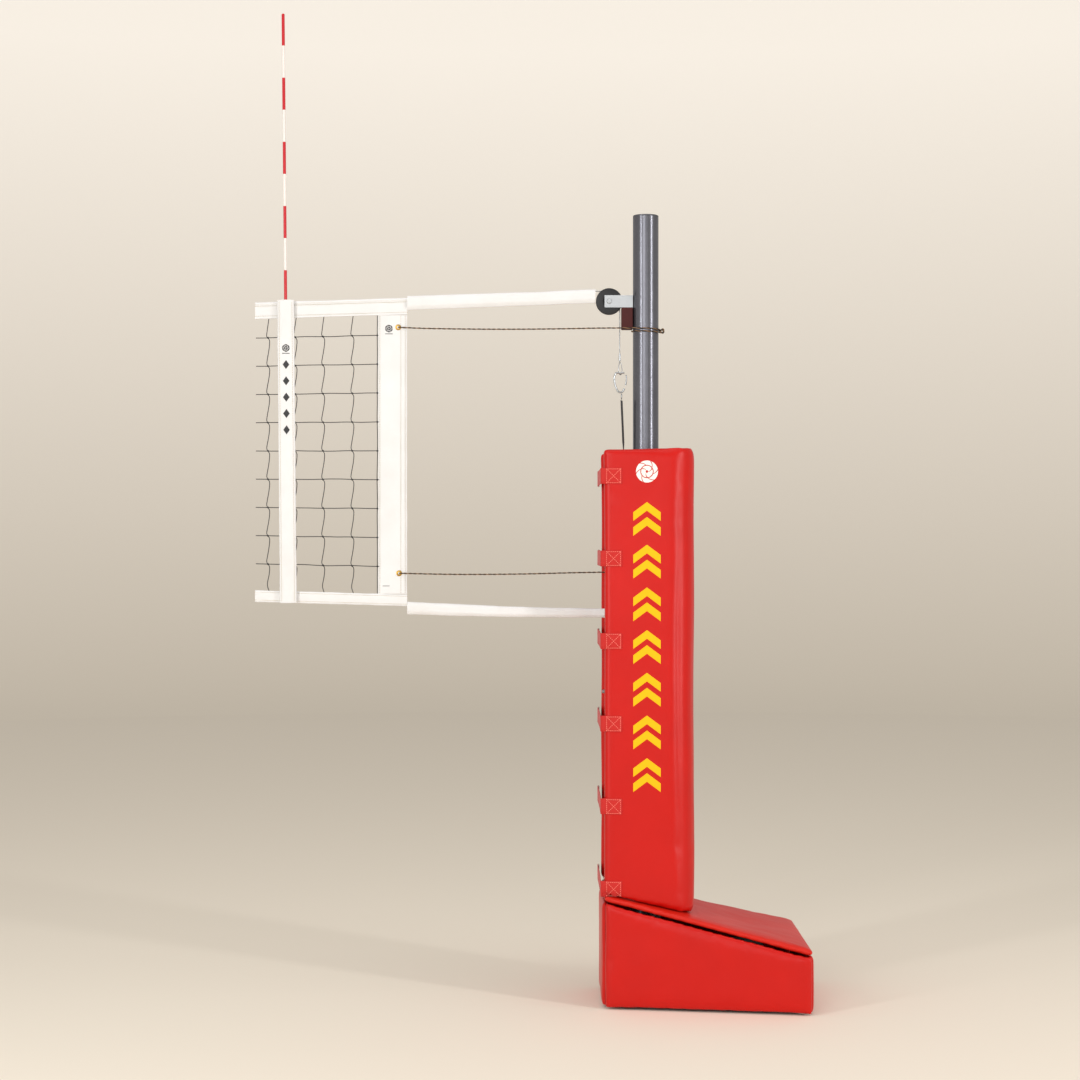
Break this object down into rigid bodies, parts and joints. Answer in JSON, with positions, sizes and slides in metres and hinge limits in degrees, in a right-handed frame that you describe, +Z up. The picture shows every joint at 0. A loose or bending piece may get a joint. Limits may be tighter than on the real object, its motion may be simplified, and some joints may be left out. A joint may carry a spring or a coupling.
{
  "type": "volleyball standard with net",
  "caption": "Freestanding padded volleyball post on a ballasted wedge base, with a telescopic mast, winch, pulley, antenna and the end of its net.",
  "frame": {"origin": "post's axis at the floor, on the underside of the centre foot", "axes": "+Z up, +X away from the net along the base, the net hangs in the plane y = 0 towards -X"},
  "size_m": [1.767, 0.5848, 3.162],
  "materials": {
    "vinyl": "gloss vinyl over foam",
    "red_webbing": "woven",
    "white_tape": "coated polyester tape",
    "net_cord": "braided cord",
    "rope": "twisted cord",
    "black_webbing": "woven",
    "post_coat": "hammertone powder coat",
    "zinc": "zinc plated",
    "black_steel": "satin paint",
    "black_nylon": "moulded",
    "maroon": "moulded",
    "rubber": "moulded",
    "antenna": "banded red and white"
  },
  "bodies": {
    "base": {"base_plate": "black_steel", "foot_centre": "rubber", "foot_net": "rubber", "foot_outer": "rubber", "ballast": "black_steel", "post_socket": "black_steel", "gusset_front": "black_steel", "gusset_back": "black_steel", "wheel_axle": "zinc", "axle_bracket_front": "black_steel", "axle_bracket_back": "black_steel", "base_pad_front": "vinyl", "base_pad_back": "vinyl", "base_pad_net_end": "vinyl", "base_pad_outer_end": "vinyl", "base_lid": "vinyl", "column_pad": "vinyl", "outer_post": "post_coat", "clamp_collar": "black_steel", "tie_ring_upper": "zinc", "tie_ring_lower": "zinc", "winch_frame": "black_steel", "strap_lower": "black_webbing", "lower_rope": "rope", "bottom_sleeve": "white_tape"},
    "mast": {"mast_tube": "post_coat", "mast_cap": "post_coat", "pulley_bracket": "zinc", "pulley_bolt": "zinc", "rope_block": "maroon", "top_cable": "zinc", "top_tape": "white_tape", "top_sleeve": "white_tape", "side_tape": "white_tape", "bottom_tape": "white_tape", "net_mesh": "net_cord", "antenna_sleeve": "white_tape", "upper_rope": "rope", "cable_drop": "zinc", "strap_upper": "black_webbing"},
    "pulley": {"pulley_wheel": "black_nylon"},
    "hook": {"cable_crimp": "zinc", "cable_loop": "zinc", "snap_hook": "zinc", "strap_link": "zinc"},
    "gate": {"hook_gate": "zinc"},
    "antenna": {"antenna_rod": "antenna"},
    "drum": {"winch_drum": "zinc", "worm_wheel": "zinc"},
    "worm": {"worm_shaft": "zinc"},
    "knob": {"lock_knob": "rubber"},
    "wheel_front": {"wheel_front": "rubber"},
    "wheel_back": {"wheel_back": "rubber"},
    "tab_flap_1": {"tab_strap_1": "red_webbing"},
    "tab_flap_2": {"tab_strap_2": "red_webbing"},
    "tab_flap_3": {"tab_strap_3": "red_webbing"},
    "tab_flap_4": {"tab_strap_4": "red_webbing"},
    "tab_flap_5": {"tab_strap_5": "red_webbing"},
    "tab_flap_6": {"tab_strap_6": "red_webbing"}
  },
  "joints": [
    {"name": "height_slide", "type": "slide", "parent": "base", "child": "mast", "axis": [0, 0, 1], "range_m": [-0.11, 0.19], "deforming": ["strap_lower", "lower_rope", "bottom_sleeve"]},
    {"name": "drum_spin", "type": "hinge", "parent": "base", "child": "drum", "pos_m": [-0.0904, 0, 1.02], "axis": [0, -1, 0], "range_deg": [0, 270]},
    {"name": "worm_spin", "type": "hinge", "parent": "base", "child": "worm", "pos_m": [-0.09, 0.05, 0.9813], "axis": [1, 0, 0], "continuous": true},
    {"name": "tension_slide", "type": "slide", "parent": "mast", "child": "hook", "axis": [0, 0, 1], "range_m": [0, 0.09], "deforming": ["cable_drop", "strap_upper"]},
    {"name": "pulley_turn", "type": "hinge", "parent": "mast", "child": "pulley", "pos_m": [-0.1177, 0, 2.239], "axis": [0, -1, 0], "continuous": true},
    {"name": "gate_swing", "type": "hinge", "parent": "hook", "child": "gate", "pos_m": [-0.06795, 0, 1.96952], "axis": [0, -1, 0], "range_deg": [0, 25], "stiffness_Nm_per_rad": 0.02},
    {"name": "antenna_lift", "type": "slide", "parent": "mast", "child": "antenna", "axis": [-0.0089, 0, 1], "range_m": [0, 0.95]},
    {"name": "knob_turn", "type": "hinge", "parent": "base", "child": "knob", "pos_m": [0, -0.0582, 1.714], "axis": [0, -1, 0], "continuous": true},
    {"name": "wheel_front_roll", "type": "hinge", "parent": "base", "child": "wheel_front", "pos_m": [0.437, -0.16, 0.053], "axis": [0, 1, 0], "continuous": true},
    {"name": "wheel_back_roll", "type": "hinge", "parent": "base", "child": "wheel_back", "pos_m": [0.437, 0.16, 0.053], "axis": [0, 1, 0], "continuous": true},
    {"name": "tab_peel_1", "type": "hinge", "parent": "base", "child": "tab_flap_1", "pos_m": [-0.1495, -0.19, 1.673], "axis": [0, 0, 1], "range_deg": [0, 110]},
    {"name": "tab_peel_2", "type": "hinge", "parent": "base", "child": "tab_flap_2", "pos_m": [-0.1495, -0.19, 1.414], "axis": [0, 0, 1], "range_deg": [0, 110]},
    {"name": "tab_peel_3", "type": "hinge", "parent": "base", "child": "tab_flap_3", "pos_m": [-0.1495, -0.19, 1.155], "axis": [0, 0, 1], "range_deg": [0, 110]},
    {"name": "tab_peel_4", "type": "hinge", "parent": "base", "child": "tab_flap_4", "pos_m": [-0.1495, -0.19, 0.896], "axis": [0, 0, 1], "range_deg": [0, 110]},
    {"name": "tab_peel_5", "type": "hinge", "parent": "base", "child": "tab_flap_5", "pos_m": [-0.1495, -0.19, 0.637], "axis": [0, 0, 1], "range_deg": [0, 110]},
    {"name": "tab_peel_6", "type": "hinge", "parent": "base", "child": "tab_flap_6", "pos_m": [-0.1495, -0.19, 0.378], "axis": [0, 0, 1], "range_deg": [0, 110]}
  ],
  "couplings": [
    {"joint": "tension_slide", "follows": "drum_spin", "m_per_rad": 0.019},
    {"joint": "pulley_turn", "follows": "drum_spin", "ratio": 0.55556},
    {"joint": "worm_spin", "follows": "drum_spin", "ratio": 30}
  ]
}
